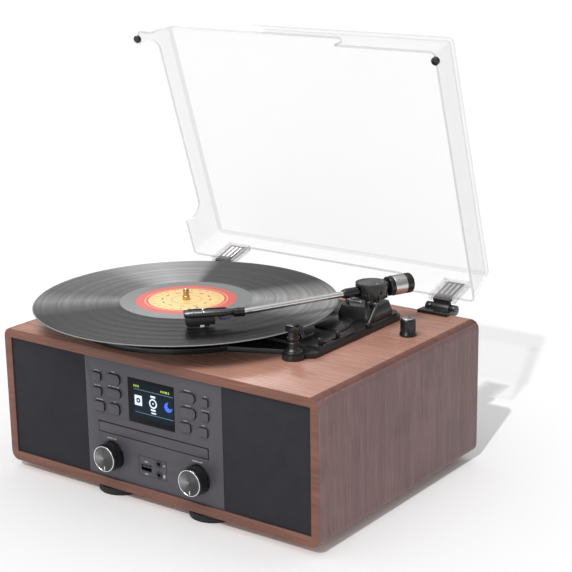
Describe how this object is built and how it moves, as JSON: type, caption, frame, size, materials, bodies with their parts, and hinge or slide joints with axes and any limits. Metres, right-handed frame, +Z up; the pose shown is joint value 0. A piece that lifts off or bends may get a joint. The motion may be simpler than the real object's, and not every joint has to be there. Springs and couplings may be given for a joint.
{
  "type": "stereo music centre",
  "caption": "Wooden tabletop music centre with a record deck and tonearm, front disc tray, display, buttons and knobs, two speakers and a clear hinged cover.",
  "frame": {"origin": "middle of the object's footprint, on the surface that it stands on", "axes": "+Z up, +Y towards the back, +X to the right as seen from the front"},
  "size_m": [0.3906, 0.3623, 0.428],
  "materials": {
    "wood": "satin grained veneer",
    "panel_plastic": "fine satin",
    "grille": "fine woven cloth",
    "black_plastic": "satin",
    "gloss_black": "polished",
    "vinyl": "grooved vinyl",
    "screen": "polished window",
    "lcd": "lit display",
    "rubber": "matte",
    "steel": "brushed",
    "chrome": "polished",
    "aluminium": "satin",
    "brass": "turned",
    "circuit_board": "solder mask",
    "board": "painted fibreboard",
    "speaker": "black",
    "white_plastic": "satin",
    "grey_trim": "satin",
    "clear_plastic": "clear moulded"
  },
  "bodies": {
    "root": {"cabinet_shell": "wood", "back_panel": "board", "front_baffle": "board", "feet": "rubber", "grille_left": "grille", "grille_right": "grille", "speakers": "speaker", "control_panel": "panel_plastic", "display_window": "screen", "display_module": "lcd", "control_board": "circuit_board", "disc_drive": "steel", "usb_socket": "steel", "jack_sockets": "black_plastic", "main_board": "circuit_board", "rear_sockets": "black_plastic", "deck_plate": "black_plastic", "platter_bearing": "brass", "drive_motor": "steel", "drive_belt": "rubber", "arm_pedestal": "black_plastic", "arm_rest": "black_plastic", "hinge_bases": "black_plastic", "screws": "steel"},
    "lid": {"dust_cover": "clear_plastic", "lid_bumpers": "rubber", "hinge_leaves": "steel"},
    "platter": {"platter": "gloss_black", "platter_mat": "rubber", "record": "vinyl", "platter_spindle": "chrome"},
    "pulley": {"motor_pulley": "brass"},
    "arm_turret": {"arm_bearing_housing": "gloss_black", "arm_housing_cap": "grey_trim"},
    "arm": {"arm_tube": "aluminium", "headshell": "gloss_black", "cartridge": "black_plastic", "stylus": "white_plastic"},
    "counterweight": {"counterweight": "aluminium"},
    "cue_lever": {"cue_lever": "gloss_black"},
    "lift_bar": {"lift_bar": "black_plastic"},
    "arm_rest_clip": {"arm_rest_clip": "chrome"},
    "speed_switch": {"speed_switch": "gloss_black"},
    "stop_switch": {"stop_switch": "gloss_black"},
    "top_knob": {"top_knob": "gloss_black"},
    "knob_left": {"knob_left": "gloss_black"},
    "knob_right": {"knob_right": "gloss_black"},
    "disc_tray": {"disc_tray": "panel_plastic"},
    "button_left_1": {"button_left_1": "panel_plastic"},
    "button_left_2": {"button_left_2": "panel_plastic"},
    "button_left_3": {"button_left_3": "panel_plastic"},
    "button_left_4": {"button_left_4": "panel_plastic"},
    "button_left_5": {"button_left_5": "panel_plastic"},
    "button_left_6": {"button_left_6": "panel_plastic"},
    "button_right_1": {"button_right_1": "panel_plastic"},
    "button_right_2": {"button_right_2": "panel_plastic"},
    "button_right_3": {"button_right_3": "panel_plastic"},
    "button_right_4": {"button_right_4": "panel_plastic"},
    "button_right_5": {"button_right_5": "panel_plastic"},
    "button_right_6": {"button_right_6": "panel_plastic"}
  },
  "joints": [
    {"name": "lid_hinge", "type": "hinge", "parent": "root", "child": "lid", "pos_m": [0.0053, 0.14246, 0.15], "axis": [-1, 0, 0], "range_deg": [-72.2, 8]},
    {"name": "platter_spin", "type": "hinge", "parent": "root", "child": "platter", "pos_m": [-0.0443, -0.03054, 0.167], "axis": [0, 0, 1], "continuous": true},
    {"name": "pulley_spin", "type": "hinge", "parent": "root", "child": "pulley", "pos_m": [-0.10087, 0.02603, 0.158], "axis": [0, 0, 1], "continuous": true},
    {"name": "arm_swing", "type": "hinge", "parent": "root", "child": "arm_turret", "pos_m": [0.1133, 0.06346, 0.1835], "axis": [0, 0, 1], "range_deg": [-13, 23.3]},
    {"name": "arm_lift", "type": "hinge", "parent": "arm_turret", "child": "arm", "pos_m": [0.1133, 0.06346, 0.1835], "axis": [-0.915, 0.4035, 0], "range_deg": [0, 3.2]},
    {"name": "counterweight_turn", "type": "hinge", "parent": "arm", "child": "counterweight", "pos_m": [0.12702, 0.09457, 0.1835], "axis": [-0.4035, -0.915, 0], "range_deg": [-180, 180]},
    {"name": "cue_lever_turn", "type": "hinge", "parent": "root", "child": "cue_lever", "pos_m": [0.1243, 0.05046, 0.1725], "axis": [-1, 0, 0], "range_deg": [0, 70]},
    {"name": "lift_bar_slide", "type": "slide", "parent": "root", "child": "lift_bar", "axis": [0, 0, 1], "range_m": [0, 0.0014]},
    {"name": "clip_turn", "type": "hinge", "parent": "root", "child": "arm_rest_clip", "pos_m": [0.12, -0.06684, 0.1784], "axis": [0, 1, 0], "range_deg": [-150, 0]},
    {"name": "speed_switch_slide", "type": "slide", "parent": "root", "child": "speed_switch", "axis": [0, 1, 0], "range_m": [0, 0.008]},
    {"name": "stop_switch_slide", "type": "slide", "parent": "root", "child": "stop_switch", "axis": [0, -1, 0], "range_m": [0, 0.008]},
    {"name": "top_knob_turn", "type": "hinge", "parent": "root", "child": "top_knob", "pos_m": [0.1626, 0.05126, 0.157], "axis": [0, 0, 1], "range_deg": [-150, 150]},
    {"name": "knob_left_turn", "type": "hinge", "parent": "root", "child": "knob_left", "pos_m": [-0.0472, -0.14954, 0.0427], "axis": [0, -1, 0], "continuous": true},
    {"name": "knob_right_turn", "type": "hinge", "parent": "root", "child": "knob_right", "pos_m": [0.0578, -0.14954, 0.0427], "axis": [0, -1, 0], "continuous": true},
    {"name": "button_left_1_press", "type": "slide", "parent": "root", "child": "button_left_1", "axis": [0, 1, 0], "range_m": [0, 0.0012], "stiffness_N_per_m": 400},
    {"name": "button_left_2_press", "type": "slide", "parent": "root", "child": "button_left_2", "axis": [0, 1, 0], "range_m": [0, 0.0012], "stiffness_N_per_m": 400},
    {"name": "button_left_3_press", "type": "slide", "parent": "root", "child": "button_left_3", "axis": [0, 1, 0], "range_m": [0, 0.0012], "stiffness_N_per_m": 400},
    {"name": "button_left_4_press", "type": "slide", "parent": "root", "child": "button_left_4", "axis": [0, 1, 0], "range_m": [0, 0.0012], "stiffness_N_per_m": 400},
    {"name": "button_left_5_press", "type": "slide", "parent": "root", "child": "button_left_5", "axis": [0, 1, 0], "range_m": [0, 0.0012], "stiffness_N_per_m": 400},
    {"name": "button_left_6_press", "type": "slide", "parent": "root", "child": "button_left_6", "axis": [0, 1, 0], "range_m": [0, 0.0012], "stiffness_N_per_m": 400},
    {"name": "button_right_1_press", "type": "slide", "parent": "root", "child": "button_right_1", "axis": [0, 1, 0], "range_m": [0, 0.0012], "stiffness_N_per_m": 400},
    {"name": "button_right_2_press", "type": "slide", "parent": "root", "child": "button_right_2", "axis": [0, 1, 0], "range_m": [0, 0.0012], "stiffness_N_per_m": 400},
    {"name": "button_right_3_press", "type": "slide", "parent": "root", "child": "button_right_3", "axis": [0, 1, 0], "range_m": [0, 0.0012], "stiffness_N_per_m": 400},
    {"name": "button_right_4_press", "type": "slide", "parent": "root", "child": "button_right_4", "axis": [0, 1, 0], "range_m": [0, 0.0012], "stiffness_N_per_m": 400},
    {"name": "button_right_5_press", "type": "slide", "parent": "root", "child": "button_right_5", "axis": [0, 1, 0], "range_m": [0, 0.0012], "stiffness_N_per_m": 400},
    {"name": "button_right_6_press", "type": "slide", "parent": "root", "child": "button_right_6", "axis": [0, 1, 0], "range_m": [0, 0.0012], "stiffness_N_per_m": 400},
    {"name": "disc_tray_slide", "type": "slide", "parent": "root", "child": "disc_tray", "axis": [0, -1, 0], "range_m": [0, 0.13]}
  ],
  "couplings": [
    {"joint": "pulley_spin", "follows": "platter_spin", "ratio": 10.377},
    {"joint": "arm_lift", "follows": "cue_lever_turn", "ratio": 0.0457},
    {"joint": "lift_bar_slide", "follows": "cue_lever_turn", "m_per_rad": 0.00114}
  ]
}
